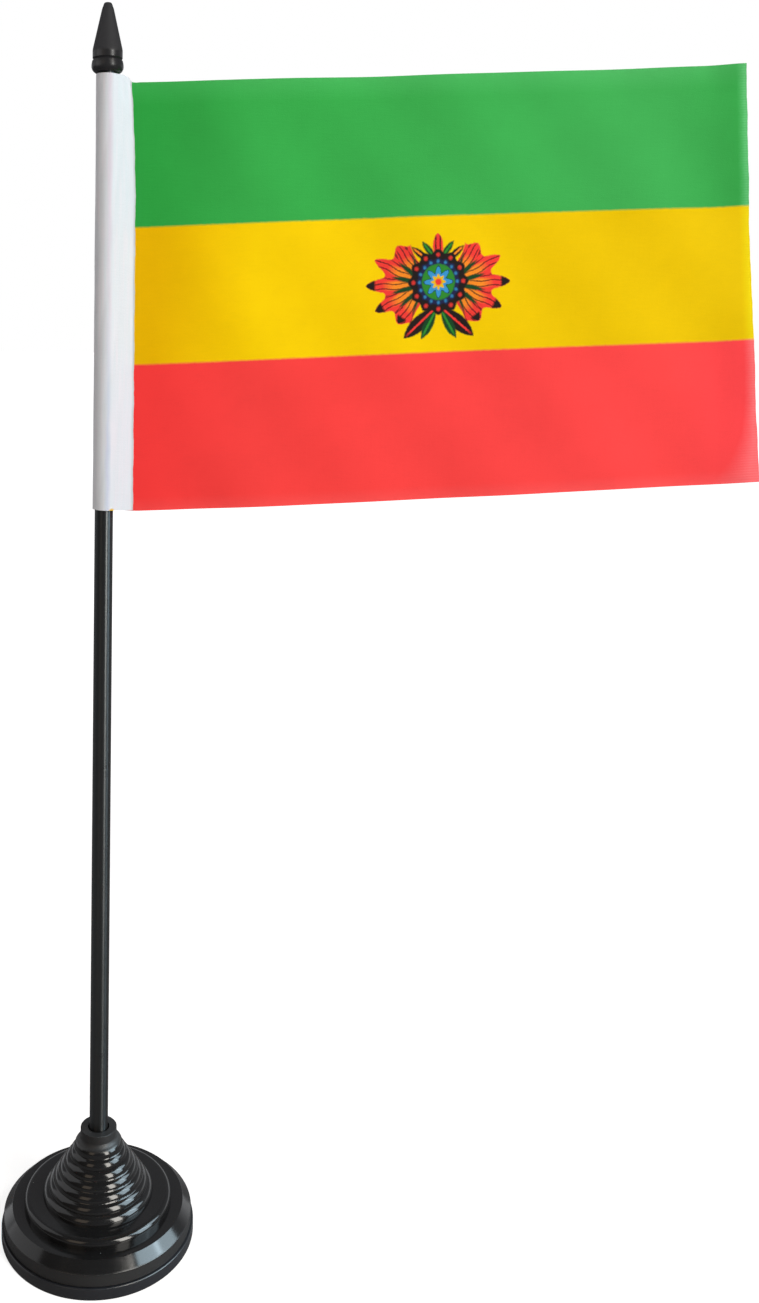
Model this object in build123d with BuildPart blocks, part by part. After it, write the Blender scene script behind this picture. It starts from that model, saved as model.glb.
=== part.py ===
from build123d import *
from math import acos, atan2, degrees, hypot
import os

os.makedirs("parts", exist_ok=True)

# Desk flag stand, in millimetres. +Z is up and runs along the pole's axis. The origin is the centre of the
# underside that the stand rests on. The flag flies towards +X, and its front faces -Y.

# ---- Base: bottom cover ------------------------------------------------------------------------------------
COVER_R = 22.2
COVER_H = 2.5
COVER_FLOOR = 1.6
COVER_TOP_CHAMFER = 0.12
COVER_FOOT_FILLET = 0.3
FOOT_RING_INNER_R = 18.5
UNDERSIDE_RECESS = 0.5
SKIRT_TOP = 4.4
SKIRT_WALL = 1.3
SKIRT_CLEARANCE = 0.05
PEG_R = 3.9
PEG_TOP = 4.6

# ---- Base: shell -------------------------------------------------------------------------------------------
SHELL_R = 21.7
SHELL_WALL = 1.6
SHELL_FOOT_CHAMFER = 0.2
BEVEL_BOTTOM = 5.1
BEVEL_R = 19.7
BEVEL_FILLET = 0.15
RING_TOP = 7.0
DISC_R = 17.0
DISC_TOP = 9.0
DISC_FILLET = 1.2
BEAD_COUNT = 7
BEAD_FOOT_R = 12.75
BEAD_STEP = 1.215
BEAD_PITCH = 1.7
BEAD_BULGE = 0.36
GROOVE_FILLET = 0.45
SHARP_GROOVES = (1, 5)
LAST_BEAD_R = 4.75
LAST_BEAD_TOP = 21.0
FLARE_SAG = 0.1
NECK_R = 4.2
NECK_FOOT = 21.8
NECK_TOP = 23.6
NECK_FILLET = 0.08

# ---- Socket and hollow in the shell ------------------------------------------------------------------------
POLE_CLEARANCE = 0.05
SOCKET_FLOOR = 8.0
SOCKET_MOUTH_R = 2.5
SOCKET_MOUTH_DEPTH = 3.0
BOSS_R = 4.0
BOSS_FLOOR = 1.6
HOLLOW_TOP = 17.0

# ---- Base: ballast weight ----------------------------------------------------------------------------------
WEIGHT_THICKNESS = 3.5
WEIGHT_CLEARANCE = 0.4
WEIGHT_CHAMFER = 0.3

# ---- Pole --------------------------------------------------------------------------------------------------
POLE_R = 2.15
POLE_BORE_R = 1.25
POLE_TOP = 276.2
POLE_CHAMFER = 0.2

# ---- Finial ------------------------------------------------------------------------------------------------
FINIAL_CLEARANCE = 0.03
FINIAL_FOOT = 269.3
FINIAL_FOOT_R = 2.9
COLLAR_R = 3.75
COLLAR_WIDEST = 271.0
COLLAR_FOOT_BULGE = 0.3
COLLAR_TOP_R = 3.55
COLLAR_TOP = 272.1
COLLAR_BULGE = 0.04
NOTCH_R = 3.25
NOTCH = 272.4
SPEAR_R = 3.52
SPEAR_FOOT = 272.7
SPEAR_SHOULDER = 274.6
SPEAR_FILLET = 4.0
TIP_SHOULDER_R = 1.4
TIP_SHOULDER = 284.2
TIP_R = 0.85
TIP_TOP = 285.7
TIP_FILLET = 0.4

# ---- Flag cloth --------------------------------------------------------------------------------------------
CLOTH = 0.3
SLEEVE_GAP = 0.22
SLEEVE_TOP = 268.9
SEAM_X = 6.9
LAP = 0.9
LAP_OVERLAP = 0.08
CLOTH_BOTTOM = 167.2
FIELD_TOP = 268.0
FLY_LOW = (156.9, 174.9)
FLY_HIGH = (153.0, 274.9)
FLY_BACK = 10.0
FIELD_MIDDLE_BACK = 5.4
TRIM = 4.0

# The shell's hollow follows its outside, one wall in.
SHELL_INNER_R = SHELL_R - SHELL_WALL
SKIRT_R = SHELL_INNER_R - SKIRT_CLEARANCE
SKIRT_INNER_R = SKIRT_R - SKIRT_WALL
SOCKET_R = POLE_R + POLE_CLEARANCE
FINIAL_BORE_R = POLE_R + FINIAL_CLEARANCE
SLEEVE_R = POLE_R + SLEEVE_GAP + CLOTH / 2


def groove(k):
    """The bottom of the groove under bead k, counted up from the disc, as (radius, height)."""
    return (BEAD_FOOT_R - k * BEAD_STEP, DISC_TOP + k * BEAD_PITCH)


def hollow_r(z):
    """The hollow's radius at height z under the beads, one wall below the grooves and half a wall in."""
    return groove((z + SHELL_WALL - DISC_TOP) / BEAD_PITCH)[0] - SHELL_WALL / 2


def corner(sketch, point):
    """The vertex of a flat sketch nearest to a point."""
    return sketch.vertices().sort_by_distance((*point, 0))[0]


with BuildPart() as bottom_cover:
    with BuildSketch(Plane.XZ) as cover_section:
        with BuildLine():
            Polyline(
                (0, UNDERSIDE_RECESS),
                (FOOT_RING_INNER_R, UNDERSIDE_RECESS),
                (FOOT_RING_INNER_R, 0),
                (COVER_R, 0),
                (COVER_R, COVER_H),
                (SKIRT_R, COVER_H),
                (SKIRT_R, SKIRT_TOP),
                (SKIRT_INNER_R, SKIRT_TOP),
                (SKIRT_INNER_R, COVER_FLOOR),
                (PEG_R, COVER_FLOOR),
                (PEG_R, PEG_TOP),
                (0, PEG_TOP),
                close=True,
            )
        make_face()
        chamfer(corner(cover_section, (COVER_R, COVER_H)), COVER_TOP_CHAMFER)
        fillet(corner(cover_section, (COVER_R, 0)), COVER_FOOT_FILLET)
    revolve(axis=Axis.Z)

# A plain steel washer, dropped over the cover's peg.
with BuildPart() as base_weight:
    with BuildSketch(Plane.XY.offset(COVER_FLOOR)):
        Circle(SKIRT_INNER_R - WEIGHT_CLEARANCE)
        Circle(PEG_R + WEIGHT_CLEARANCE, mode=Mode.SUBTRACT)
    extrude(amount=WEIGHT_THICKNESS)
    chamfer(base_weight.edges().filter_by(GeomType.CIRCLE), WEIGHT_CHAMFER)

with BuildPart() as base_shell:
    with BuildSketch(Plane.XZ) as shell_section:
        with BuildLine():
            Polyline(
                (0, NECK_TOP),
                (0, COVER_H),
                (SHELL_R, COVER_H),
                (SHELL_R, BEVEL_BOTTOM),
                (BEVEL_R, RING_TOP),
                (DISC_R, RING_TOP),
                (DISC_R, DISC_TOP),
                groove(0),
            )
            for k in range(BEAD_COUNT - 1):
                SagittaArc(groove(k), groove(k + 1), -BEAD_BULGE)
            SagittaArc(groove(BEAD_COUNT - 1), (LAST_BEAD_R, LAST_BEAD_TOP), -BEAD_BULGE)
            SagittaArc((LAST_BEAD_R, LAST_BEAD_TOP), (NECK_R, NECK_FOOT), FLARE_SAG)
            Polyline((NECK_R, NECK_FOOT), (NECK_R, NECK_TOP), (0, NECK_TOP))
        make_face()
        chamfer(corner(shell_section, (SHELL_R, COVER_H)), SHELL_FOOT_CHAMFER)
        fillet(corner(shell_section, (SHELL_R, BEVEL_BOTTOM)), BEVEL_FILLET)
        fillet(corner(shell_section, (BEVEL_R, RING_TOP)), BEVEL_FILLET)
        fillet(corner(shell_section, (DISC_R, DISC_TOP)), DISC_FILLET)
        fillet(corner(shell_section, (NECK_R, NECK_TOP)), NECK_FILLET)
        for k in range(1, BEAD_COUNT):
            if k not in SHARP_GROOVES:
                fillet(corner(shell_section, groove(k)), GROOVE_FILLET)
    revolve(axis=Axis.Z)
    with BuildSketch(Plane.XZ):
        with BuildLine():
            Polyline(
                (0, COVER_H),
                (SHELL_INNER_R, COVER_H),
                (SHELL_INNER_R, BEVEL_BOTTOM - SHELL_WALL / 4),
                (BEVEL_R - SHELL_WALL / 2, RING_TOP - SHELL_WALL),
                (DISC_R - SHELL_WALL, RING_TOP - SHELL_WALL),
                (DISC_R - SHELL_WALL, DISC_TOP - SHELL_WALL),
                (hollow_r(DISC_TOP - SHELL_WALL), DISC_TOP - SHELL_WALL),
                (hollow_r(HOLLOW_TOP), HOLLOW_TOP),
                (BOSS_R, HOLLOW_TOP),
                (BOSS_R, SOCKET_FLOOR - BOSS_FLOOR),
                (0, SOCKET_FLOOR - BOSS_FLOOR),
                close=True,
            )
        make_face()
    revolve(axis=Axis.Z, mode=Mode.SUBTRACT)
    # The blind socket, widened a little at its mouth.
    with BuildSketch(Plane.XZ):
        with BuildLine():
            Polyline(
                (0, SOCKET_FLOOR),
                (SOCKET_R, SOCKET_FLOOR),
                (SOCKET_R, NECK_TOP - SOCKET_MOUTH_DEPTH),
                (SOCKET_MOUTH_R, NECK_TOP),
                (0, NECK_TOP),
                close=True,
            )
        make_face()
    revolve(axis=Axis.Z, mode=Mode.SUBTRACT)

with BuildPart() as pole:
    with BuildSketch(Plane.XY.offset(SOCKET_FLOOR)):
        Circle(POLE_R)
        Circle(POLE_BORE_R, mode=Mode.SUBTRACT)
    extrude(amount=POLE_TOP - SOCKET_FLOOR)
    outer_ends = pole.edges().filter_by(GeomType.CIRCLE).group_by(SortBy.RADIUS)[-1]
    chamfer(outer_ends, POLE_CHAMFER)

# A collar, a notch and a straight-sided spear with a blunt tip, bored from below to cap the pole.
with BuildPart() as finial:
    with BuildSketch(Plane.XZ) as finial_section:
        with BuildLine():
            Polyline((0, TIP_TOP), (0, FINIAL_FOOT), (FINIAL_FOOT_R, FINIAL_FOOT))
            SagittaArc((FINIAL_FOOT_R, FINIAL_FOOT), (COLLAR_R, COLLAR_WIDEST), -COLLAR_FOOT_BULGE)
            SagittaArc((COLLAR_R, COLLAR_WIDEST), (COLLAR_TOP_R, COLLAR_TOP), -COLLAR_BULGE)
            Polyline(
                (COLLAR_TOP_R, COLLAR_TOP),
                (NOTCH_R, NOTCH),
                (SPEAR_R, SPEAR_FOOT),
                (SPEAR_R, SPEAR_SHOULDER),
                (TIP_SHOULDER_R, TIP_SHOULDER),
                (TIP_R, TIP_TOP),
                (0, TIP_TOP),
            )
        make_face()
        fillet(corner(finial_section, (SPEAR_R, SPEAR_SHOULDER)), SPEAR_FILLET)
        fillet(corner(finial_section, (TIP_SHOULDER_R, TIP_SHOULDER)), SPEAR_FILLET)
        fillet(corner(finial_section, (TIP_R, TIP_TOP)), TIP_FILLET)
    revolve(axis=Axis.Z)
    with BuildSketch(Plane.XY.offset(FINIAL_FOOT)):
        Circle(FINIAL_BORE_R)
    extrude(amount=POLE_TOP - FINIAL_FOOT, mode=Mode.SUBTRACT)

# The cloth's plan: the field leaves from behind the pole and drifts back towards the fly, and the margin comes
# round the pole, runs straight to the seam and laps onto the field's front.
with BuildPart() as flag_cloth:
    with BuildSketch(Plane.XY.offset(CLOTH_BOTTOM)):
        with BuildLine():
            Spline(
                (0, SLEEVE_R),
                (FLY_LOW[0] / 2, FIELD_MIDDLE_BACK),
                (FLY_LOW[0] + TRIM, FLY_BACK),
                tangents=[(1, 0), (FLY_LOW[0], FLY_BACK - SLEEVE_R)],
            )
        trace(line_width=CLOTH)
        with BuildLine():
            lap_y = SLEEVE_R - CLOTH + LAP_OVERLAP
            lap_start = Vector(SEAM_X - LAP, lap_y)
            lap_angle = degrees(atan2(lap_y, lap_start.X))
            tangent_angle = lap_angle - degrees(acos(SLEEVE_R / hypot(lap_start.X, lap_y)))
            wrap = CenterArc((0, 0), SLEEVE_R, 90, 270 + tangent_angle)
            Polyline(wrap @ 1, lap_start, (SEAM_X, lap_y))
        trace(line_width=CLOTH)
    extrude(amount=FLY_HIGH[1] - CLOTH_BOTTOM + TRIM)
    with BuildSketch(Plane.XZ):
        with BuildLine():
            Polyline(
                (-TRIM, CLOTH_BOTTOM),
                (SEAM_X, CLOTH_BOTTOM),
                FLY_LOW,
                FLY_HIGH,
                (SEAM_X, FIELD_TOP),
                (SEAM_X, SLEEVE_TOP),
                (-TRIM, SLEEVE_TOP),
                close=True,
            )
        make_face()
    extrude(amount=FLY_BACK + TRIM, both=True, mode=Mode.INTERSECT)

pieces = {
    "bottom_cover": bottom_cover,
    "base_weight": base_weight,
    "base_shell": base_shell,
    "pole": pole,
    "finial": finial,
    "flag_cloth": flag_cloth,
}
for name, piece in pieces.items():
    piece.part.label = name
    export_step(piece.part, f"parts/{name}.step")
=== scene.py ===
import math

import bpy
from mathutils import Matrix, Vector


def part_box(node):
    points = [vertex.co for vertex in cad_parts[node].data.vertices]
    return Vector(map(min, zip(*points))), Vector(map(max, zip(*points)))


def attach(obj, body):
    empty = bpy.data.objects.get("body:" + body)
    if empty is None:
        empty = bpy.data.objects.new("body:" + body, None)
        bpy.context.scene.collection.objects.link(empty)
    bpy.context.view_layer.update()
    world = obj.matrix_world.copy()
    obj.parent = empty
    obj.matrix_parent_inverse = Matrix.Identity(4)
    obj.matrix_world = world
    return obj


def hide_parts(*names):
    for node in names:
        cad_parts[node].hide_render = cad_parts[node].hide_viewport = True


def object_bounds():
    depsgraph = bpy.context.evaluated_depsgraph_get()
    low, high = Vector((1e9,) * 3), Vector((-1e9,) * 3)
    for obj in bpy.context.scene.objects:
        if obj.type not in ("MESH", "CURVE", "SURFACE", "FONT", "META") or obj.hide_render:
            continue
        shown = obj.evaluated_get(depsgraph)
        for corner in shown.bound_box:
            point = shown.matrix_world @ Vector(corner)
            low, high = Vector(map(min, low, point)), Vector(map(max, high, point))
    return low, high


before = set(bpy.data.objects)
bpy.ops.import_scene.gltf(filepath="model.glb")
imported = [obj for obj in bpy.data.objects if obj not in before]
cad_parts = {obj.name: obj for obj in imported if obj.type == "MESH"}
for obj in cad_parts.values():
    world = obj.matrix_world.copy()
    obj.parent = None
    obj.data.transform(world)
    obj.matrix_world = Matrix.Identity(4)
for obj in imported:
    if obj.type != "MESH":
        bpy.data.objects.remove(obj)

# Desk flag stand, in metres. +Z is up the pole, the flag flies towards +X, and its front faces -Y.

CAD_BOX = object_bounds()
MM = 0.001

# ---- Places read from the frame ----------------------------------------------------------------------------
CLOTH_LOW, CLOTH_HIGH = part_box("flag_cloth")
BASE_LOW, BASE_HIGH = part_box("base_shell")
FINIAL_LOW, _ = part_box("finial")
FLOOR_Z = CAD_BOX[0].z

# The heights at which the plastic turns from glossy to satin, and where its colour is painted lighter as a
# painted sheen: under the base's bevel, over its beads and over the finial's foot.
WALL_TOP = BASE_LOW.z + 2.6 * MM
NECK_FLARE = BASE_HIGH.z - 2.85 * MM
FINIAL_SHOULDER = FINIAL_LOW.z + 4.9 * MM

# ---- The cloth's size --------------------------------------------------------------------------------------
CLOTH_THICKNESS = 0.16 * MM
CAD_CLOTH_THICKNESS = 0.3 * MM
FLAT_HEIGHT = 100.5 * MM
SLEEVE_R = -CLOTH_LOW.x - CAD_CLOTH_THICKNESS / 2
SEAM_X = 6.65 * MM
LAP = 0.3 * MM
LAP_GAP = CLOTH_THICKNESS * 1.15

FLY_LEAN = 3.9 * MM
FLY_X_LOW = CLOTH_HIGH.x
FLY_X_HIGH = FLY_X_LOW - FLY_LEAN
FLY_BACK = CLOTH_HIGH.y - CAD_CLOTH_THICKNESS / 2
FIELD_BOTTOM = CLOTH_LOW.z
FIELD_TOP = CLOTH_LOW.z + 100.8 * MM
FLY_RISE = CLOTH_HIGH.z - FIELD_TOP
SLEEVE_TOP = CLOTH_LOW.z + 101.7 * MM

# How many steps the cloth's grid takes up the cloth, across the field and along each part of the margin.
ROWS = 124
FIELD_COLUMNS = 196
LAP_STEPS = 3
FRONT_STEPS = 12
WRAP_STEPS = 40
BACK_STEPS = 12


def srgb(red, green, blue):
    """A colour given as on a screen, from 0 to 255, as the linear colour that a shader takes."""
    def linear(value):
        value = value / 255
        return value / 12.92 if value <= 0.04045 else ((value + 0.055) / 1.055) ** 2.4
    return (linear(red), linear(green), linear(blue), 1.0)


def smooth(t):
    """Rises from 0 to 1 with flat ends as t goes from 0 to 1."""
    t = min(max(t, 0.0), 1.0)
    return t * t * (3 - 2 * t)


def late(t, start):
    """Stays 0 up to the start, then rises with flat ends to 1 as t goes on to 1."""
    return smooth((t - start) / (1 - start))


def bell(at, middle, width):
    """1 where at is the middle, falling to 0 on both sides of it."""
    return math.exp(-(((at - middle) / width) ** 2))


def glide(at, places, values):
    """Values that glide from one to the next as at passes the places."""
    for i in range(len(places) - 1):
        if at <= places[i + 1]:
            share = (at - places[i]) / (places[i + 1] - places[i])
            return values[i] + (values[i + 1] - values[i]) * smooth(share)
    return values[-1]


# ---- Numbers that vary over a surface ----------------------------------------------------------------------
class Field:
    """A number at each point of a surface. Sums and products of Fields make Math nodes in its node tree."""

    def __init__(self, tree, source):
        self.tree = tree
        self.source = source

    def op(self, operation, *others, clamp=False):
        node = self.tree.nodes.new("ShaderNodeMath")
        node.operation = operation
        node.use_clamp = clamp
        for socket, value in zip(node.inputs, (self, *others)):
            if isinstance(value, Field):
                self.tree.links.new(value.source, socket)
            else:
                socket.default_value = value
        return Field(self.tree, node.outputs[0])

    def __add__(self, other):
        return self.op("ADD", other)

    def __sub__(self, other):
        return self.op("SUBTRACT", other)

    def __rsub__(self, other):
        return self.op("MULTIPLY_ADD", -1.0, other)

    def __mul__(self, other):
        return self.op("MULTIPLY", other)

    def __truediv__(self, other):
        return self.op("DIVIDE", other)

    def __abs__(self):
        return self.op("ABSOLUTE")

    def clamp(self):
        return self.op("ADD", 0.0, clamp=True)

    def power(self, exponent):
        return self.op("POWER", exponent)

    def sine(self):
        return self.op("SINE")

    def cosine(self):
        return self.op("COSINE")

    def rounded(self):
        return self.op("ROUND")

    def least(self, other):
        return self.op("MINIMUM", other)

    def most(self, other):
        return self.op("MAXIMUM", other)

    def over(self, level, soft):
        """1 where this is over level and 0 where it is under, with a soft edge of the given width."""
        return self.op("MULTIPLY_ADD", 1 / soft, 0.5 - level / soft, clamp=True)

    def under(self, level, soft):
        """1 where this is under level and 0 where it is over, with a soft edge of the given width."""
        return self.op("MULTIPLY_ADD", -1 / soft, 0.5 + level / soft, clamp=True)


def length_of(x, y):
    """The distance of the point x, y from the origin."""
    return (x * x + y * y).op("SQRT")


def angle_of(x, y):
    """The angle of the point x, y round the origin, in radians."""
    return y.op("ARCTAN2", x)


def new_material(name):
    """An empty material with a Principled shader: (material, node tree, shader)."""
    material = bpy.data.materials.new(name)
    material.use_nodes = True
    tree = material.node_tree
    return material, tree, tree.nodes["Principled BSDF"]


def vector_field(tree, x, y, z=0.0):
    """A vector socket made from three Fields or numbers."""
    node = tree.nodes.new("ShaderNodeCombineXYZ")
    for socket, value in zip(node.inputs, (x, y, z)):
        if isinstance(value, Field):
            tree.links.new(value.source, socket)
        else:
            socket.default_value = value
    return node.outputs[0]


def split_vector(tree, source):
    """The three parts of a vector socket, as Fields."""
    node = tree.nodes.new("ShaderNodeSeparateXYZ")
    tree.links.new(source, node.inputs[0])
    return tuple(Field(tree, socket) for socket in node.outputs)


def noise(tree, place, scale, detail=2.0, roughness=0.5):
    """Smooth noise from about 0 to 1 with a mean of 0.5."""
    node = tree.nodes.new("ShaderNodeTexNoise")
    node.inputs["Scale"].default_value = scale
    node.inputs["Detail"].default_value = detail
    node.inputs["Roughness"].default_value = roughness
    tree.links.new(place, node.inputs["Vector"])
    return Field(tree, node.outputs["Fac"])


def paint(tree, under, colour, mask):
    """A colour socket: colour laid over what is under it, where mask is 1.

    The colour and what is under it are each a socket or a tuple of red, green, blue and alpha.
    """
    node = tree.nodes.new("ShaderNodeMix")
    node.data_type = "RGBA"
    tree.links.new(mask.source, node.inputs["Factor"])
    for socket, value in ((node.inputs[6], under), (node.inputs[7], colour)):
        if isinstance(value, bpy.types.NodeSocket):
            tree.links.new(value, socket)
        else:
            socket.default_value = value
    return node.outputs[2]


def shade(tree, colour, factor):
    """A colour socket: colour multiplied by a Field."""
    node = tree.nodes.new("ShaderNodeVectorMath")
    node.operation = "SCALE"
    tree.links.new(colour, node.inputs[0])
    tree.links.new(factor.source, node.inputs["Scale"])
    return node.outputs[0]


def raise_surface(tree, shader, height, distance, strength):
    """Bumps the shader's normal by a height Field."""
    node = tree.nodes.new("ShaderNodeBump")
    node.inputs["Distance"].default_value = distance
    node.inputs["Strength"].default_value = strength
    tree.links.new(height.source, node.inputs["Height"])
    tree.links.new(node.outputs["Normal"], shader.inputs["Normal"])


# ---- The cloth's shape -------------------------------------------------------------------------------------
DRIFT_CURVE = 1.15
HOLLOW_DEPTH = 0.75 * MM
HOLLOW_X = 34 * MM
HOLLOW_WIDTH = 17 * MM


def field_back(x):
    """How far behind the pole's axis the flat of the flag stands at x."""
    share = max(x, 0.0) / FLY_X_LOW
    drift = (FLY_BACK - SLEEVE_R) * share ** DRIFT_CURVE
    return SLEEVE_R + drift - HOLLOW_DEPTH * bell(x, HOLLOW_X, HOLLOW_WIDTH)


def cloth_plan():
    """The cloth from above: from the margin's cut edge, round the pole to its back, and on to the seam."""
    lap_end = Vector((SEAM_X, field_back(SEAM_X) - LAP_GAP))
    lap_start = Vector((SEAM_X - LAP, field_back(SEAM_X - LAP) - LAP_GAP))
    touch = math.atan2(lap_start.y, lap_start.x) - math.acos(SLEEVE_R / lap_start.length)
    wrap_turn = touch + math.radians(270)

    def on_sleeve(angle):
        return Vector((math.cos(angle), math.sin(angle))) * SLEEVE_R

    points = [lap_end.lerp(lap_start, i / LAP_STEPS) for i in range(LAP_STEPS + 1)]
    points += [lap_start.lerp(on_sleeve(touch), i / FRONT_STEPS) for i in range(1, FRONT_STEPS + 1)]
    points += [on_sleeve(touch - wrap_turn * i / WRAP_STEPS) for i in range(1, WRAP_STEPS + 1)]
    back_places = [SEAM_X * i / BACK_STEPS for i in range(1, BACK_STEPS + 1)]
    return points + [Vector((x, field_back(x))) for x in back_places]


def along(points):
    """The distance of each point from the first one, measured along the line through them."""
    reach = [0.0]
    for a, b in zip(points, points[1:]):
        reach.append(reach[-1] + (b - a).length)
    return reach


# Where the cloth comes onto the round of the sleeve, passes its left front and leaves it at the back: first
# as points of the plan, then as lengths of flat cloth from the margin's cut edge.
PLAN = cloth_plan()
REACH = along(PLAN)
TOUCH = LAP_STEPS + FRONT_STEPS
LEFT = TOUCH + 16
BACK = TOUCH + WRAP_STEPS
TOUCH_AT = REACH[TOUCH]
LEFT_AT = REACH[LEFT]
BACK_AT = REACH[BACK]
MARGIN_RUN = REACH[-1]
FIELD_RUN = (FLY_X_LOW + FLY_X_HIGH) / 2 - SEAM_X
FLAT_WIDTH = MARGIN_RUN + FIELD_RUN

# The sleeve's bottom and top edges: how far each stands from its nominal height at places along the cloth.
BOTTOM_PLACES = (0.0, TOUCH_AT, LEFT_AT, BACK_AT, MARGIN_RUN)
BOTTOM_RISES = (-0.2 * MM, 0.2 * MM, 0.45 * MM, 0.1 * MM, -0.4 * MM)
TOP_PLACES = (0.0, 0.14 * TOUCH_AT, 0.45 * TOUCH_AT, TOUCH_AT, LEFT_AT, BACK_AT, MARGIN_RUN)
TOP_DROPS = (1.1 * MM, 0.3 * MM, -0.1 * MM, 0.0, 0.0, 0.1 * MM, 1.2 * MM)
BOTTOM_WANDER = 0.06 * MM
TOP_WANDER = 0.05 * MM
CUT_WANDER = 0.10 * MM
FLY_WANDER = 0.1 * MM
# Each ripple's share of a wander, its turn in radians a metre, and how far the seed shifts it.
RIPPLES = ((0.5, 310, 1.0), (0.3, 830, 2.1), (0.2, 2100, 3.7))

# The sleeve's ease round the pole: each ripple's height, its turns up and along the cloth, and its phase.
EASES = ((0.05 * MM, 95, 900, 0.0), (0.03 * MM, 230, 400, 1.0))

# The pinch near the sleeve's top, and the way its cut edge lies.
PINCH_DEPTH = 0.16 * MM
PINCH_Z = SLEEVE_TOP - 3.2 * MM
PINCH_HEIGHT = 2.2 * MM
PINCH_AT = 0.45 * TOUCH_AT
PINCH_WIDTH = 0.8 * MM
CUT_EDGE_WIDTH = 0.7 * MM
CUT_EDGE_LIFT = 0.05 * MM
CUT_EDGE_TURN = 410
TOP_DRAW_IN = 0.75 * MM
TOP_DRAW_FROM = 0.72
CORNER_DRAW_IN = 0.4 * MM
CORNER_FROM = 0.93

# The field's sag between the hoist and the fly, its curled corners and its shallow waves.
HANG = 0.3 * MM
BELLY = 0.35 * MM
BELLY_CURVE = 0.8
BELLY_FORWARD = 0.6
EDGE_CURL = 0.25 * MM
EDGE_CURL_FROM = 0.9
FOOT_DROP = 0.1 * MM
FOOT_RISE = 0.3 * MM
FOOT_RISE_FROM = 0.3
HEAD_RISE = 0.05 * MM
HOIST_HOLD = 0.12
FLY_CURL = 0.35 * MM
FLY_CURL_FROM = 0.93
FLY_CURL_TURN = 70
CORNER_CURL = 0.5 * MM
# Each wave's height, its turns across and up the field in radians a metre, and its phase.
WAVES = ((0.30 * MM, 118, -47, 0.6), (0.16 * MM, 205, 160, 2.0), (0.05 * MM, 61, -390, 4.0))


def edge_wander(at, size, seed):
    """A slow, small wander for a cut edge."""
    return size * sum(share * math.sin(at * turn + shift * seed) for share, turn, shift in RIPPLES)


def sleeve_point(k, t):
    """A point of the margin and sleeve: plan point k, at share t of the height."""
    at = REACH[k]
    x, y = PLAN[k]
    bottom = FIELD_BOTTOM + glide(at, BOTTOM_PLACES, BOTTOM_RISES) + edge_wander(at, BOTTOM_WANDER, 1.0)
    top = SLEEVE_TOP - glide(at, TOP_PLACES, TOP_DROPS) + edge_wander(at, TOP_WANDER, 2.0)
    z = bottom + (top - bottom) * t

    loose = smooth(at / TOUCH_AT) * smooth((BACK_AT - at) / (BACK_AT - LEFT_AT))
    ease = sum(height * math.sin(z * up + at * round_pole + phase) for height, up, round_pole, phase in EASES)
    pinch = PINCH_DEPTH * bell(z, PINCH_Z, PINCH_HEIGHT) * bell(at, PINCH_AT, PINCH_WIDTH)
    outward = Vector((x, y)).normalized() * (loose * abs(ease) - pinch)

    cut_edge = bell(at, 0.0, CUT_EDGE_WIDTH)
    front = max(1 - at / TOUCH_AT, 0.0)
    draw_in = TOP_DRAW_IN * late(t, TOP_DRAW_FROM) + CORNER_DRAW_IN * late(t, CORNER_FROM)
    x += outward.x + cut_edge * edge_wander(z * 1.7, CUT_WANDER, 0.4) - front * draw_in
    y += outward.y - cut_edge * CUT_EDGE_LIFT * (1 + math.sin(z * CUT_EDGE_TURN))
    return (x, y, z)


def field_point(q, t):
    """A point of the flag's field: share q of the way from the seam to the fly, at share t of the height."""
    fly_x = FLY_X_LOW + (FLY_X_HIGH - FLY_X_LOW) * t + edge_wander(t * 0.1, FLY_WANDER, 5.0) * q
    x = SEAM_X + (fly_x - SEAM_X) * q
    sag = HANG + BELLY * (4 * q * (1 - q)) ** BELLY_CURVE * (1 - BELLY_FORWARD * q)
    shift = FLY_RISE * q - sag + EDGE_CURL * late(q, EDGE_CURL_FROM) ** 2
    bottom = FIELD_BOTTOM - FOOT_DROP + shift + FOOT_RISE * late(q, FOOT_RISE_FROM)
    top = FIELD_TOP + HEAD_RISE + shift
    z = bottom + (top - bottom) * t

    y = field_back(x)
    free = smooth(q / HOIST_HOLD)
    for height, across, up, phase in WAVES:
        y += free * height * math.sin(across * x + up * z + phase)
    near_fly = late(q, FLY_CURL_FROM)
    near_corner = late(t, CORNER_FROM) + late(1 - t, CORNER_FROM)
    y -= near_fly * (FLY_CURL * (1 + 0.5 * math.sin(z * FLY_CURL_TURN + 1.0)) + CORNER_CURL * near_corner)
    return (x, y, z)


def mark_cut_edges(mesh):
    """Marks the sheet's outer edges as sharp, so that the cut edge isn't shaded as if it were round."""
    faces_at = {}
    for face in mesh.polygons:
        for key in face.edge_keys:
            faces_at[key] = faces_at.get(key, 0) + 1
    for edge in mesh.edges:
        edge.use_edge_sharp = faces_at[edge.key] == 1


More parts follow.
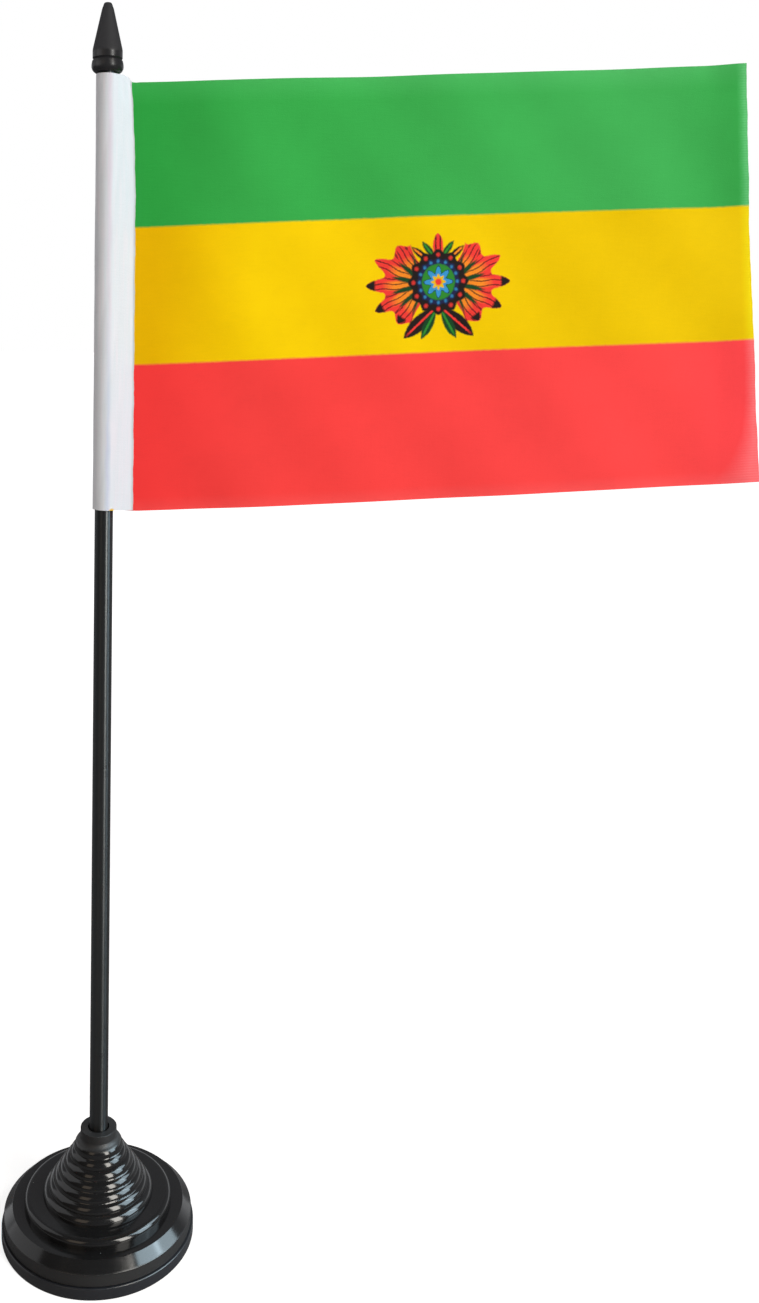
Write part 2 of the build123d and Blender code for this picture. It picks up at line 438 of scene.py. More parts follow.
def make_cloth():
    """The flag's one sheet of cloth: margin, sleeve and field, as a grid. Its UV map is the flat cloth."""
    columns = [(REACH[k], lambda t, k=k: sleeve_point(k, t)) for k in range(len(PLAN))]
    for i in range(1, FIELD_COLUMNS + 1):
        q = i / FIELD_COLUMNS
        columns.append((MARGIN_RUN + FIELD_RUN * q, lambda t, q=q: field_point(q, t)))
    vertices = []
    flat = []
    for at, point in columns:
        for j in range(ROWS + 1):
            t = j / ROWS
            vertices.append(point(t))
            flat.append((at / MM, t * FLAT_HEIGHT / MM))
    faces = []
    stride = ROWS + 1
    for i in range(len(columns) - 1):
        for j in range(ROWS):
            first = i * stride + j
            faces.append((first, first + 1, first + stride + 1, first + stride))
    mesh = bpy.data.meshes.new("flag")
    mesh.from_pydata(vertices, [], faces)
    layer = mesh.uv_layers.new(name="flat_cloth")
    for loop in mesh.loops:
        layer.data[loop.index].uv = flat[loop.vertex_index]
    for face in mesh.polygons:
        face.use_smooth = True
    mark_cut_edges(mesh)
    cloth = bpy.data.objects.new("printed_flag", mesh)
    bpy.context.scene.collection.objects.link(cloth)
    solid = cloth.modifiers.new("thickness", "SOLIDIFY")
    solid.thickness = CLOTH_THICKNESS
    solid.offset = 0.0
    return cloth


# ---- The print's inks and places ---------------------------------------------------------------------------
# The print's places and lengths are in millimetres on the flat cloth.

# Each band's colour at the hoist, in the middle, further out and at the fly: its ink with painted light and
# shade over it, darkest at the hoist. The steps below say where one changes to the next, as a share of the
# way to the fly, and how softly.
GREEN = (srgb(48, 163, 67), srgb(58, 172, 76), srgb(66, 174, 84), srgb(55, 160, 72))
YELLOW = (srgb(240, 184, 0), srgb(255, 210, 2), srgb(238, 195, 0), srgb(234, 193, 1))
RED = (srgb(255, 62, 61), srgb(255, 68, 66), srgb(255, 72, 72), srgb(255, 71, 75))
INK_AND_SHADE_STEPS = ((0.11, 0.16), (0.55, 0.5), (0.92, 0.12))

INK_BLACK = srgb(38, 31, 30)
INK_NAVY = srgb(38, 42, 78)
INK_BLUE = srgb(60, 150, 210)
INK_GREEN = srgb(52, 140, 50)
INK_LEAF = srgb(28, 70, 40)
INK_RED = srgb(243, 62, 55)
INK_ORANGE = srgb(250, 140, 40)
INK_GOLD = srgb(240, 190, 30)

WHITE = srgb(210, 212, 216)
CUT_EDGE_WHITE = srgb(214, 215, 218)
STAIN_ROSE = srgb(232, 214, 220)
STREAK_PINK = srgb(214, 188, 202)
STREAK_BLUE = srgb(176, 184, 214)
STAIN_YELLOW = srgb(226, 178, 60)

CLOTH_WIDTH = FLAT_WIDTH / MM
CLOTH_HEIGHT = FLAT_HEIGHT / MM
SLEEVE_FRONT = TOUCH_AT / MM
PRINT_AT = BACK_AT / MM + 2.0
SEAM_AT = MARGIN_RUN / MM

RED_SHARE = 0.341
GREEN_SHARE = 0.339
YELLOW_FROM = CLOTH_HEIGHT * RED_SHARE
GREEN_FROM = CLOTH_HEIGHT * (1 - GREEN_SHARE)
YELLOW_BOW = 0.5
YELLOW_SOFT = 0.65
GREEN_BOW = 0.55
GREEN_SOFT = 0.6
PRINT_SOFT = 0.5
INK_RUN = 0.4

ORNAMENT_SHARE = 0.486
ORNAMENT_X = SEAM_AT + (CLOTH_WIDTH - SEAM_AT) * ORNAMENT_SHARE
ORNAMENT_Y = (YELLOW_FROM + GREEN_FROM) / 2

FLY_BAND = 2.6
FLY_BAND_FLARE = 9.0
FLARE_HEIGHT = 26.0
FLY_THINNING = 0.33
EDGE_THINNING = 0.4
RIB_PITCH = 0.62
RIB_INK = 0.035
THREAD_PITCH = 0.3
WEAVE_DEPTH = 0.035 * MM
CLOTH_ROUGHNESS = 0.72

# The marks on the margin: a long pink and blue streak where the sleeve's front begins, and a small spot at
# its foot.
STREAK_AT = SLEEVE_FRONT + 0.9
STREAK_REACH = 0.35
STREAK_SOFT = 0.9
STREAK_STRENGTH = 0.5
SPOT_AT = SLEEVE_FRONT - 0.2
SPOT_R = 0.7
FRAY_REACH = 0.25

# ---- The ornament ------------------------------------------------------------------------------------------
LINE_SOFT = 0.38
LINE_INK = 0.8

FAN_FOOT = (3.2, 0.6)
FAN_STEP = math.radians(27)
FAN_HALF_ANGLE = 1.2
PETAL_LENGTH = 14.3
PETAL_SHORTENING = 0.75
PETAL_HALF_WIDTH = 2.15
PETAL_BLUNT = 0.62
PETAL_TIP = 0.84
STREAK_TURN = 5.2
WEB_LENGTH = 10.6
WEB_SCALLOP = 0.7
WEB_HALF_ANGLE = 1.22
WEB_MIDDLE = 8.0
VEIN_TURN = 41.0
VEINS_FROM = 5.5
SEPAL_LENGTH = 8.6
SEPAL_HALF_WIDTH = 0.75

# Each leaf's foot, angle in degrees, length, width, fill and midrib. The other side has its mirror image.
LEAVES = (
    ((2.0, -4.5), -84, 7.2, 2.6, INK_GREEN, INK_LEAF),
    ((0.8, -5.2), -42, 10.4, 3.9, INK_BLACK, INK_RED),
    ((0.6, -5.6), -62, 7.9, 2.6, INK_LEAF, INK_GREEN),
    ((0.5, 6.4), 52, 5.6, 1.9, INK_LEAF, INK_GREEN),
    ((2.2, 6.0), 40, 5.6, 2.0, INK_BLACK, INK_ORANGE),
)
LEAF_BLUNT = 0.8
BUD_FOOT = (0.0, 6.2)
BUD_LENGTH = 6.4
BUD_WIDTH = 2.9
BUD_BLUNT = 0.6
BUD_LINE = 0.55

ROSETTE_RISE = 1.0
ROSETTE_SQUASH = 0.93
OUTER_COUNT = 12
RING_COUNT = 16
HEART_COUNT = 8
ROSETTE_R = 6.85
RED_DOT_RING = 6.0
RED_DOT_R = 0.47
NAVY_R = 5.1
BLUE_DOT_RING = 4.55
BLUE_DOT_R = 0.34
HEART_R = 3.95
BLUE_PETALS_R = 2.75
GOLD_R = 1.45
EYE_R = 0.75


def bulge(share, blunt):
    """A leaf's outline: 0 at both ends of share and 1 in the middle. A lower blunt makes rounder ends."""
    return (share * (1 - share) * 4).power(blunt)


def leaf(x, y, foot, angle, length, width, blunt=LEAF_BLUNT):
    """A pointed leaf. Returns (how far inside its outline, share of its length, distance from its midrib)."""
    turn = math.radians(angle)
    dx = x - foot[0]
    dy = y - foot[1]
    reach = dx * math.cos(turn) + dy * math.sin(turn)
    from_rib = abs(dy * math.cos(turn) - dx * math.sin(turn))
    share = (reach / length).clamp()
    return bulge(share, blunt) * (width / 2) - from_rib - LINE_SOFT / 2, share, from_rib


def petals(x, y, count, radius, depth):
    """A round flower with count petals. Returns how far inside its outline."""
    edge = (angle_of(x, y) * count).cosine() * depth + radius
    return edge - length_of(x, y)


def ring_of_dots(x, y, count, radius, size):
    """count dots evenly round a ring. Returns how far inside a dot."""
    step = math.tau / count
    angle = angle_of(x, y)
    local = angle - (angle / step).rounded() * step
    out = length_of(x, y)
    return size - length_of(local * out, out - radius)


def draw_fans(tree, colour, side, y):
    """A fan of five veined petals on a red web, with narrow sepals between them, at side from the middle."""
    fan_x = side - FAN_FOOT[0]
    fan_y = y - FAN_FOOT[1]
    angle = angle_of(fan_x, fan_y)
    number = (angle / FAN_STEP).rounded().most(-2.0).least(2.0)
    local = angle - number * FAN_STEP
    out = length_of(fan_x, fan_y)
    reach = out * local.cosine()
    across = out * local.sine()
    outside_rosette = fan_x.over(0.0, LINE_SOFT)

    web_edge = (local * math.tau / FAN_STEP).cosine() * WEB_SCALLOP + WEB_LENGTH
    web = (web_edge - out).least((abs(angle) * -1 + WEB_HALF_ANGLE) * WEB_MIDDLE)
    colour = paint(tree, colour, INK_RED, web.over(0.0, LINE_SOFT) * outside_rosette)
    veins = (angle * VEIN_TURN + (out * 0.9).sine() * 0.9).sine().over(0.45, 0.5)
    veins = veins * web.over(0.2, LINE_SOFT) * out.over(VEINS_FROM, 2.0)
    colour = paint(tree, colour, INK_BLACK, veins * LINE_INK)

    share = (reach / (PETAL_LENGTH - number * number * PETAL_SHORTENING)).clamp()
    half_width = bulge(share, PETAL_BLUNT) * PETAL_HALF_WIDTH
    inside = half_width - abs(across) - LINE_SOFT / 2
    petal = inside.over(0.0, LINE_SOFT)
    colour = paint(tree, colour, INK_RED, petal)
    core = (half_width * 0.5 - abs(across + 0.15)).over(0.0, 0.5) * share.under(0.62, 0.2)
    colour = paint(tree, colour, INK_ORANGE, core)
    streaks = (across * STREAK_TURN + (reach * 1.1).sine() * 0.8).sine().over(0.72, 0.4)
    streaks = streaks * inside.over(0.15, LINE_SOFT) * share.over(0.3, 0.2)
    colour = paint(tree, colour, INK_BLACK, streaks * LINE_INK)
    lower_tips = share.over(PETAL_TIP, 0.04) * number.under(0.5, 1.0)
    colour = paint(tree, colour, INK_BLACK, petal * lower_tips)

    between = angle / FAN_STEP + 0.5
    gap = (between - between.rounded()) * FAN_STEP
    sepal_share = (out * gap.cosine() / SEPAL_LENGTH).clamp()
    sepal = bulge(sepal_share, LEAF_BLUNT) * SEPAL_HALF_WIDTH - abs(out * gap.sine()) - LINE_SOFT / 2
    in_fan = abs(angle).under(FAN_HALF_ANGLE, 0.1)
    return paint(tree, colour, INK_LEAF, sepal.over(0.0, LINE_SOFT) * outside_rosette * in_fan)


def draw_leaves(tree, colour, x, y):
    """The leaves below and above the rosette, and the bud on top."""
    for foot, angle, length, width, fill, midrib in LEAVES:
        inside, share, from_rib = leaf(abs(x), y, foot, angle, length, width)
        colour = paint(tree, colour, fill, inside.over(0.0, LINE_SOFT))
        rib = inside.over(0.2, LINE_SOFT) * from_rib.under(0.24, 0.25) * share.under(0.85, 0.2)
        colour = paint(tree, colour, midrib, rib)
    inside, _, from_rib = leaf(x, y, BUD_FOOT, 90, BUD_LENGTH, BUD_WIDTH, BUD_BLUNT)
    colour = paint(tree, colour, INK_RED, inside.over(0.0, LINE_SOFT))
    line = inside.over(0.1, LINE_SOFT) * abs(from_rib - BUD_LINE).under(0.14, 0.2)
    return paint(tree, colour, INK_BLACK, line)


def draw_rosette(tree, colour, x, y):
    """A scalloped dark flower with two rings of dots, blue inner petals and a green heart."""
    soft = LINE_SOFT
    colour = paint(tree, colour, INK_BLACK, petals(x, y, OUTER_COUNT, ROSETTE_R, 0.42).over(0.0, soft))
    red_dots = ring_of_dots(x, y, OUTER_COUNT, RED_DOT_RING, RED_DOT_R)
    colour = paint(tree, colour, INK_RED, red_dots.over(0.0, soft) * 0.75)
    colour = paint(tree, colour, INK_NAVY, petals(x, y, RING_COUNT, NAVY_R, 0.25).over(0.0, soft))
    blue_dots = ring_of_dots(x, y, RING_COUNT, BLUE_DOT_RING, BLUE_DOT_R)
    colour = paint(tree, colour, INK_BLUE, blue_dots.over(0.0, soft) * 0.7)
    out = length_of(x, y)
    colour = paint(tree, colour, INK_GREEN, out.under(HEART_R, soft))
    inner = petals(x, y, HEART_COUNT, BLUE_PETALS_R, 0.75)
    colour = paint(tree, colour, INK_BLUE, inner.over(0.0, soft))
    colour = paint(tree, colour, INK_NAVY, abs(inner).under(0.12, 0.2))
    colour = paint(tree, colour, INK_GOLD, petals(x, y, HEART_COUNT, GOLD_R, 0.3).over(0.0, soft))
    return paint(tree, colour, INK_RED, out.under(EYE_R, soft))


def draw_ornament(tree, colour, x, y):
    """A symmetrical flower ornament, laid over colour. x and y are measured from its centre."""
    colour = draw_fans(tree, colour, abs(x), y)
    colour = draw_leaves(tree, colour, x, y)
    return draw_rosette(tree, colour, x, (y - ROSETTE_RISE) * ROSETTE_SQUASH)


# ---- The cloth's material ----------------------------------------------------------------------------------
def band_ink_and_shade(tree, share, inks):
    """A colour socket: a band's ink, with painted light and shade from the hoist to the fly."""
    colour = inks[0]
    for ink, (place, soft) in zip(inks[1:], INK_AND_SHADE_STEPS):
        colour = paint(tree, colour, ink, share.over(place, soft))
    return colour


def thin_ink(tree, colour, thickness):
    """A colour socket: what is left of an ink's colour where its layer is thinner than usual."""
    node = tree.nodes.new("ShaderNodeGamma")
    tree.links.new(colour, node.inputs["Color"])
    tree.links.new(thickness.source, node.inputs["Gamma"])
    return node.outputs["Color"]


def draw_bands(tree, a, b, edge):
    """Red below, yellow in the middle and green above, with lines between them that bow up a little."""
    share = ((a - SEAM_AT) / (CLOTH_WIDTH - SEAM_AT)).clamp()
    bow = (share * math.pi).sine()
    yellow_over_red = (b - bow * YELLOW_BOW + edge).over(YELLOW_FROM, YELLOW_SOFT)
    green_over_yellow = (b - bow * GREEN_BOW + edge).over(GREEN_FROM, GREEN_SOFT)
    # Each band's colour carries painted light and shade along the flag, darkest at the hoist.
    colour = paint(tree, band_ink_and_shade(tree, share, RED), band_ink_and_shade(tree, share, YELLOW), yellow_over_red)
    return paint(tree, colour, band_ink_and_shade(tree, share, GREEN), green_over_yellow)


def draw_margin(tree, a, b, grain, streaks):
    """The white, unprinted margin, faintly stained by the inks beside it, with a long pink and blue streak.
    """
    stain = noise(tree, vector_field(tree, a * 1.6, b * 0.09), 1.0)
    margin = paint(tree, WHITE, STAIN_ROSE, (stain - 0.42).clamp() * 0.9)
    wander = noise(tree, vector_field(tree, a * 0.6, b * 0.12), 1.0) - 0.5
    streak = abs(a + wander * 1.2 - STREAK_AT).under(STREAK_REACH, STREAK_SOFT) * STREAK_STRENGTH
    upper = b.over(CLOTH_HEIGHT * 0.45, CLOTH_HEIGHT * 0.4)
    lower = b.under(CLOTH_HEIGHT * 0.3, CLOTH_HEIGHT * 0.3)
    # The streak is pink in the upper part of the margin and blue in the lower.
    margin = paint(tree, margin, STREAK_PINK, streak * upper)
    margin = paint(tree, margin, STREAK_BLUE, streak * lower)
    from_spot = length_of(a - SPOT_AT, b * 1.6)
    margin = paint(tree, margin, STAIN_YELLOW, from_spot.under(SPOT_R, 0.5))
    margin = shade(tree, margin, grain * 0.07 + streaks * 0.03 + 1.0)
    frayed = (noise(tree, vector_field(tree, a * 0.8, b * 5.0), 1.0) - 0.5) * 0.5
    return paint(tree, margin, CUT_EDGE_WHITE, (a + frayed).under(FRAY_REACH, 0.3) * 0.6)


def flag_material():
    """Printed woven polyester: white margin, three bands, an ornament, and thinner ink along the edges."""
    material, tree, shader = new_material("printed_polyester")
    place = tree.nodes.new("ShaderNodeUVMap")
    place.uv_map = "flat_cloth"
    a, b, _ = split_vector(tree, place.outputs["UV"])
    flat = vector_field(tree, a, b)
    wander = noise(tree, flat, 0.9) - 0.5
    fine_wander = noise(tree, flat, 2.6) - 0.5
    edge = wander * 0.25 + fine_wander * 0.06

    # The print, with edges that the ink has run a little.
    colour = draw_bands(tree, a, b, edge)
    ornament_x = a - ORNAMENT_X + fine_wander * INK_RUN
    ornament_y = b - ORNAMENT_Y + (noise(tree, flat, 2.1) - 0.5) * INK_RUN
    colour = draw_ornament(tree, colour, ornament_x, ornament_y)

    # Ink density: soft mottling, faint streaks along the weft and a fine grain of threads.
    streaks = noise(tree, vector_field(tree, a * 0.35, b * 2.2), 1.0, 3.0) - 0.5
    mottle = noise(tree, flat, 0.22, 3.0) - 0.5
    grain = noise(tree, flat, 3.4, 3.0, 0.65) - 0.5
    colour = shade(tree, colour, mottle * 0.06 + streaks * 0.05 + grain * 0.13 + 1.0)

    # The ink is thinner along the fly, where the weft shows as fine ribs, and a little along the long edges.
    to_fly = a * -1 + CLOTH_WIDTH + wander * 0.6
    ribs = (b * math.tau / RIB_PITCH).sine()
    low = (b * (-1 / FLARE_HEIGHT) + 1).clamp()
    band = low * low * low * FLY_BAND_FLARE + FLY_BAND
    fly_band = ((band - to_fly) / (band * 0.75)).clamp()
    long_edges = b.under(1.6, 3.2) * 0.35 + b.over(CLOTH_HEIGHT - 2.5, 6.0) * 0.4
    thickness = fly_band * (ribs * RIB_INK - FLY_THINNING) - long_edges * (1 - fly_band) * EDGE_THINNING + 1
    colour = thin_ink(tree, colour, thickness)

    margin = draw_margin(tree, a, b, grain, streaks)
    colour = paint(tree, margin, colour, (a + edge * 1.4).over(PRINT_AT, PRINT_SOFT))
    tree.links.new(colour, shader.inputs["Base Color"])

    # Plain weave: warp and weft threads that cross over and under.
    warp = (a * math.pi / THREAD_PITCH).sine()
    weft = (b * math.pi / THREAD_PITCH).sine()
    warp_on_top = (warp * weft).over(0.0, 0.6)
    threads = abs(warp) * warp_on_top + abs(weft) * (1 - warp_on_top)
    ribbed = abs((b * math.pi / RIB_PITCH).sine()) * fly_band
    height = threads * 0.55 + ribbed * 0.8 + grain * 1.1 + streaks * 0.8
    raise_surface(tree, shader, height, WEAVE_DEPTH, 0.6)
    tree.links.new((grain * 0.18 + threads * 0.05 + CLOTH_ROUGHNESS).source, shader.inputs["Roughness"])
    shader.inputs["Specular IOR Level"].default_value = 0.05
    shader.inputs["Sheen Weight"].default_value = 0.015
    shader.inputs["Sheen Roughness"].default_value = 0.45
    return material


# ---- The plastics and the steel ----------------------------------------------------------------------------
PLASTIC_IOR = 1.56
CLOUD_SCALE = 160.0
PEBBLE_SCALE = 2600.0
DUST_SCALE = 520.0
DUST_SHARE = 0.05
SATIN_BLEND = 0.5 * MM
SATIN_ROUGHNESS = 0.36
# How far the satin zones are painted lighter: a painted sheen.
SATIN_PAINTED_SHEEN = 0.8
BUMP_DEPTH = 0.01 * MM
DUST_GREY = srgb(150, 150, 148)
# Heights far below and above the stand, for a plastic that turns satin at neither end.
FAR_BELOW = -1.0
FAR_ABOVE = 1.0


def dust(tree, place, scale, share):
    """Scattered specks of dust: 1 on a speck. share is how many of the cells hold one."""
    cells = tree.nodes.new("ShaderNodeTexVoronoi")
    cells.inputs["Scale"].default_value = scale
    cells.inputs["Randomness"].default_value = 1.0
    tree.links.new(place, cells.inputs["Vector"])
    chosen = split_vector(tree, cells.outputs["Color"])
    near = Field(tree, cells.outputs["Distance"])
    return (near - chosen[1] * 0.07).under(0.03, 0.03) * chosen[0].under(share, 0.01)


def turned_marks(tree, x, y, z):
    """Fine marks on a part that is round about +Z."""
    out = length_of(x, y).most(0.2 * MM)
    rays = noise(tree, vector_field(tree, x / out, y / out, z * 40), 26.0, 3.0)
    rings = noise(tree, vector_field(tree, out, z, 0.0), 1500.0)
    return rays * 0.7 + rings * 0.3


def drawn_marks(tree, x, y, z):
    """Fine lines round a drawn tube that stands along +Z."""
    return noise(tree, vector_field(tree, x, y, z * 4.0), 900.0)


def moulded_plastic(name, dark, light, roughness, gloss, marks, satin_below=FAR_BELOW, satin_above=FAR_ABOVE):
    """Black moulded plastic, clouded between a dark and a light colour, with the marks that a function draws.

    Below the height satin_below and above satin_above, the surface turns from glossy to satin, and its colour
    is
    painted lighter there: a painted sheen.
    """
    material, tree, shader = new_material(name)
    place = tree.nodes.new("ShaderNodeTexCoord").outputs["Object"]
    x, y, z = split_vector(tree, place)
    cloudy = noise(tree, place, CLOUD_SCALE, 3.0)
    pebble = noise(tree, place, PEBBLE_SCALE)
    lines = marks(tree, x, y, z)
    specks = dust(tree, place, DUST_SCALE, DUST_SHARE)
    satin = z.over(satin_above, SATIN_BLEND).most(z.under(satin_below, SATIN_BLEND))
    # The satin zones are painted lighter, a painted sheen, on top of the plastic's own clouding and marks.
    tone_and_sheen = (cloudy - 0.35) * 0.6 + (lines - 0.5) * 0.4 + satin * SATIN_PAINTED_SHEEN
    rough = (lines - 0.5) * 0.1 + (cloudy - 0.5) * 0.06 + specks * 0.4 + satin * SATIN_ROUGHNESS + roughness
    base = paint(tree, dark, light, tone_and_sheen.clamp())
    base = paint(tree, base, DUST_GREY, specks * 0.5)
    tree.links.new(base, shader.inputs["Base Color"])
    tree.links.new(rough.clamp().source, shader.inputs["Roughness"])
    shader.inputs["IOR"].default_value = PLASTIC_IOR
    shader.inputs["Specular IOR Level"].default_value = gloss
    raise_surface(tree, shader, pebble * 0.2 + lines * 0.35 + cloudy * 0.5, BUMP_DEPTH, 0.35)
    return material


def polished_along(material):
    """Stretches a material's highlights along +Z, as polishing round a rod does, and cools them a little."""
    tree = material.node_tree
    shader = tree.nodes["Principled BSDF"]
    around = tree.nodes.new("ShaderNodeTangent")
    around.direction_type = "RADIAL"
    around.axis = "Z"
    tree.links.new(around.outputs["Tangent"], shader.inputs["Tangent"])
    shader.inputs["Anisotropic"].default_value = 0.93
    shader.inputs["Anisotropic Rotation"].default_value = 0.25
    shader.inputs["Specular Tint"].default_value = (0.88, 0.96, 1.0, 1.0)
    return material


def zinc_steel():
    """Stamped, zinc-plated steel for the hidden weight."""
    material, tree, shader = new_material("zinc_steel")
    place = tree.nodes.new("ShaderNodeTexCoord").outputs["Object"]
    x, y, _ = split_vector(tree, place)
    spangle = noise(tree, place, 420.0, 3.0)
    scratches = noise(tree, vector_field(tree, x, y), 2400.0)
    base = paint(tree, srgb(158, 160, 162), srgb(196, 198, 200), spangle)
    tree.links.new(base, shader.inputs["Base Color"])
    tree.links.new((spangle * 0.2 + scratches * 0.12 + 0.22).source, shader.inputs["Roughness"])
    shader.inputs["Metallic"].default_value = 1.0
    raise_surface(tree, shader, scratches, BUMP_DEPTH, 0.4)
    return material


def dress(node, material):
    """Gives a CAD node its material."""
    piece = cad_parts[node]
    piece.data.materials.clear()
    piece.data.materials.append(material)


def dress_stand():
    """The plastics and steel of the five CAD nodes that are shown as they are."""
    shell = moulded_plastic(
        "base_gloss", srgb(22, 21, 21), srgb(38, 37, 37), 0.13, 0.6, turned_marks,
        satin_below=WALL_TOP, satin_above=NECK_FLARE,
    )
    # The cover's greys, lighter and bluer than the shell's, are painted light: the soft grey-blue light it
    # takes from the pale floor.
    cover = moulded_plastic("cover_satin_painted_light", srgb(36, 37, 41), srgb(48, 48, 52), 0.3, 0.6, turned_marks)
    rod = moulded_plastic("pole_satin", srgb(17, 15, 13), srgb(26, 24, 22), 0.3, 1.0, drawn_marks)
    spear = moulded_plastic(
        "finial_satin", srgb(36, 36, 38), srgb(47, 47, 50), 0.32, 0.2, turned_marks,
        satin_above=FINIAL_SHOULDER,
    )
    dress("base_shell", shell)
    dress("bottom_cover", cover)
    dress("pole", polished_along(rod))
    dress("finial", spear)
    dress("base_weight", zinc_steel())


# ---- The studio --------------------------------------------------------------------------------------------
LIGHT_TARGET = Vector((20 * MM, 0.0, 90 * MM))
LIGHT_DISTANCE = 1.3
WARM_WHITE = (1.0, 0.965, 0.90)
DAYLIGHT = (0.70, 0.89, 1.0)
LAMPLIGHT = (1.0, 0.8, 0.6)
COOL_WHITE = (0.97, 0.98, 1.0)
SOFT_WHITE = (1.0, 0.98, 0.97)
CREAM_WHITE = (1.0, 0.98, 0.95)
GREENISH_WHITE = (0.97, 1.0, 0.97)

CAMERA_WHITE = (1.0, 1.0, 1.0, 1.0)
ROOM_DARK = (0.06, 0.055, 0.05, 1.0)
ROOM_RIGHT = (0.13, 0.14, 0.16, 1.0)
ROOM_BACK = (0.2, 0.2, 0.21, 1.0)
ROOM_LOW_BACK = (0.95, 0.97, 1.0, 1.0)
FLOOR_GREY = (0.4, 0.41, 0.43, 1.0)
FLOOR_WHITE = (0.9, 0.9, 0.9, 1.0)
FLOOR_HALF = 30.0
# The floor's own glow to the camera, near the stand and beyond a distance, where it meets the background.
GLOW_NEAR = 0.75
GLOW_FAR = 1.0
GLOW_FAR_FROM = 0.45
GLOW_BLEND = 0.6


def panel(name, azimuth, elevation, turn_width, turn_height, radiance, colour, only=()):
    """A lit rectangle that covers the given angles as seen from the object.

    Azimuth 0 is in front of the object and 90 at its right. The lamp lights everything, or only some pieces.
    """
    side = math.radians(azimuth)
    up = math.radians(elevation)
    away = Vector((math.sin(side) * math.cos(up), -math.cos(side) * math.cos(up), math.sin(up)))
    light = bpy.data.lights.new(name, "AREA")
    light.shape = "RECTANGLE"
    light.size = 2 * LIGHT_DISTANCE * math.tan(math.radians(turn_width / 2))
    light.size_y = 2 * LIGHT_DISTANCE * math.tan(math.radians(turn_height / 2))
    light.energy = radiance * math.pi * light.size * light.size_y
    light.color = colour
    lamp = bpy.data.objects.new(name, light)
    lamp.location = LIGHT_TARGET + away * LIGHT_DISTANCE
    lamp.rotation_euler = away.to_track_quat("Z", "Y").to_euler()
    lamp.visible_camera = False
    bpy.context.scene.collection.objects.link(lamp)
    if only:
        lit = bpy.data.collections.new(name + "_lights")
        for piece in only:
            lit.objects.link(piece)
        lamp.light_linking.receiver_collection = lit


def make_lights(flag):
    """A softbox, two windows and a spark at the right, weak fills at the left and a softbox behind."""
    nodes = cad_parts
    base = (nodes["base_shell"], nodes["bottom_cover"])
    panel("softbox", 43, 22, 17, 52, 8.4, WARM_WHITE)
    panel("window", 76, 26, 24, 46, 6.0, DAYLIGHT, only=(flag, *base, nodes["pole"]))
    panel("far_window", 99, 37, 22, 30, 5.0, DAYLIGHT, only=base)
    panel("room_glow", -30, 28, 22, 34, 0.7, LAMPLIGHT)
    panel("side_glow", -100, 35, 40, 50, 0.5, COOL_WHITE)
    panel("left_fill", -65, 15, 40, 40, 1.8, SOFT_WHITE, only=(flag, nodes["finial"]))
    panel("finial_spark", 43, 19.5, 9, 9, 30.0, GREENISH_WHITE, only=(nodes["finial"],))
    panel("back_softbox", 170, 40, 50, 40, 3.2, CREAM_WHITE, only=(flag,))


def seen_directly(tree):
    """1 where the camera looks straight at a surface or the background, and 0 for light and reflections."""
    return Field(tree, tree.nodes.new("ShaderNodeLightPath").outputs["Is Camera Ray"])


def make_world():
    """White behind the object, and a dimmer, softly graded room for light and reflections."""
    world = bpy.data.worlds.new("studio")
    world.use_nodes = True
    bpy.context.scene.world = world
    tree = world.node_tree
    x, y, z = split_vector(tree, tree.nodes.new("ShaderNodeTexCoord").outputs["Generated"])
    room = paint(tree, ROOM_DARK, ROOM_RIGHT, (x * 0.5 + 0.5).clamp())
    room = paint(tree, room, ROOM_BACK, y.over(0.1, 0.8))
    room = paint(tree, room, ROOM_LOW_BACK, y.over(0.3, 0.5) * z.under(0.22, 0.2))
    room = paint(tree, room, ROOM_DARK, z.over(0.8, 0.5) * 0.8)
    room = paint(tree, room, CAMERA_WHITE, seen_directly(tree))
    tree.links.new(room, tree.nodes["Background"].inputs["Color"])


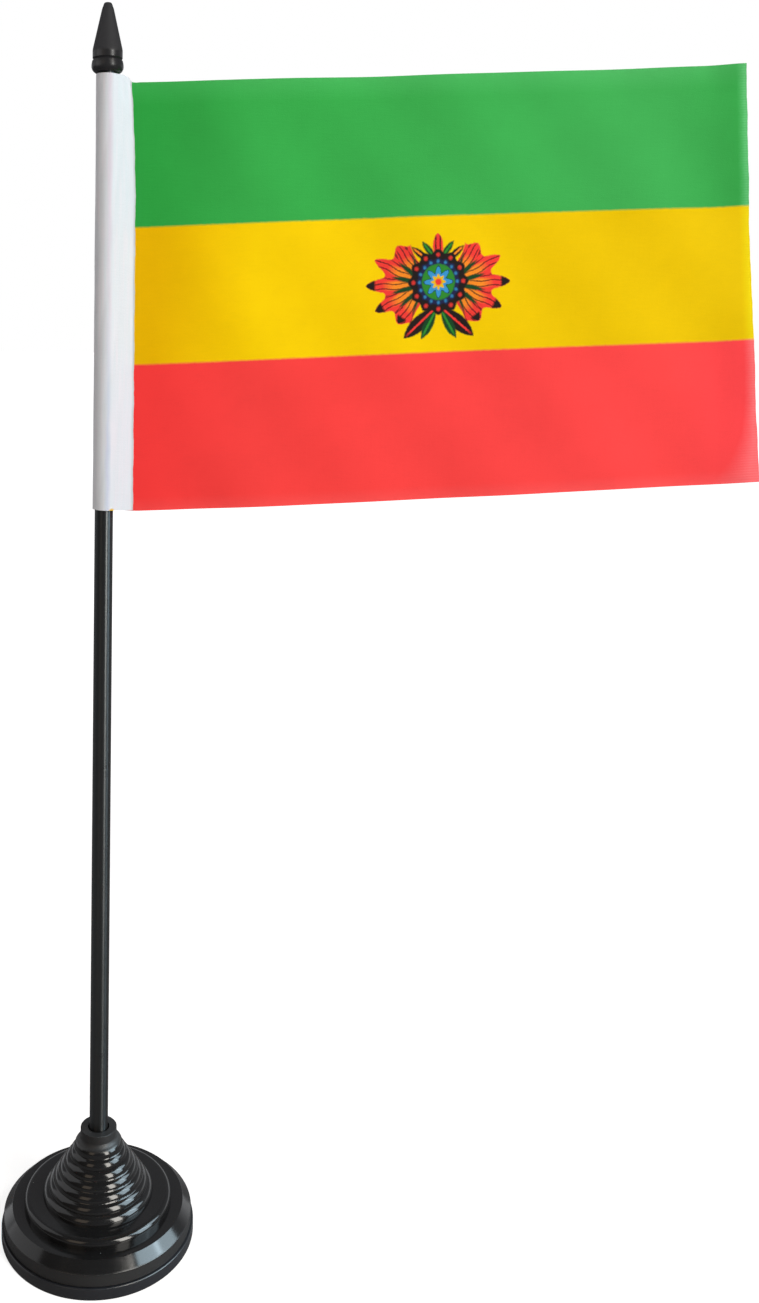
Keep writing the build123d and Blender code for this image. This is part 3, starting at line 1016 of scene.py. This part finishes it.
def make_floor():
    """A wide pale floor under the stand, drawn white like the background behind it."""
    half = FLOOR_HALF
    corners = [(-half, -half, 0), (half, -half, 0), (half, half, 0), (-half, half, 0)]
    mesh = bpy.data.meshes.new("floor")
    mesh.from_pydata(corners, [], [(0, 1, 2, 3)])
    floor = bpy.data.objects.new("floor", mesh)
    floor.location.z = FLOOR_Z
    bpy.context.scene.collection.objects.link(floor)
    material, tree, shader = new_material("pale_floor")
    seen = seen_directly(tree)
    tree.links.new(paint(tree, FLOOR_GREY, FLOOR_WHITE, seen), shader.inputs["Base Color"])
    x, y, _ = split_vector(tree, tree.nodes.new("ShaderNodeTexCoord").outputs["Object"])
    glow = length_of(x, y).over(GLOW_FAR_FROM, GLOW_BLEND) * (GLOW_FAR - GLOW_NEAR) + GLOW_NEAR
    shader.inputs["Emission Color"].default_value = CAMERA_WHITE
    tree.links.new((seen * glow).source, shader.inputs["Emission Strength"])
    shader.inputs["Roughness"].default_value = 0.9
    shader.inputs["Specular IOR Level"].default_value = 0.0
    mesh.materials.append(material)


CAMERA_DISTANCE = 285 * MM
CAMERA_HEIGHT = 206 * MM
CAMERA_SIDE = 21.8 * MM
CAMERA_LENS = 33.74
CAMERA_SENSOR = 36.0
CAMERA_SHIFT_SIDE = 0.1388
CAMERA_SHIFT_UP = -0.2352
CAMERA_ROLL = 0.48


def make_camera():
    """A level camera at the height of the flag, shifted down to take in the base."""
    camera = bpy.data.cameras.new("camera")
    camera.sensor_width = CAMERA_SENSOR
    camera.lens = CAMERA_LENS
    camera.shift_x = CAMERA_SHIFT_SIDE
    camera.shift_y = CAMERA_SHIFT_UP
    camera.clip_start = 0.01
    camera.clip_end = 100.0
    holder = bpy.data.objects.new("camera", camera)
    holder.location = (CAMERA_SIDE, -CAMERA_DISTANCE, CAMERA_HEIGHT)
    holder.rotation_euler = (math.radians(90), math.radians(-CAMERA_ROLL), 0.0)
    bpy.context.scene.collection.objects.link(holder)
    bpy.context.scene.camera = holder


# ---- Putting it together -----------------------------------------------------------------------------------
flag = make_cloth()
flag.data.materials.append(flag_material())
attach(flag, "flag")
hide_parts("flag_cloth")
dress_stand()

make_camera()
make_world()
make_floor()
make_lights(flag)
bpy.context.scene.view_settings.view_transform = "Standard"
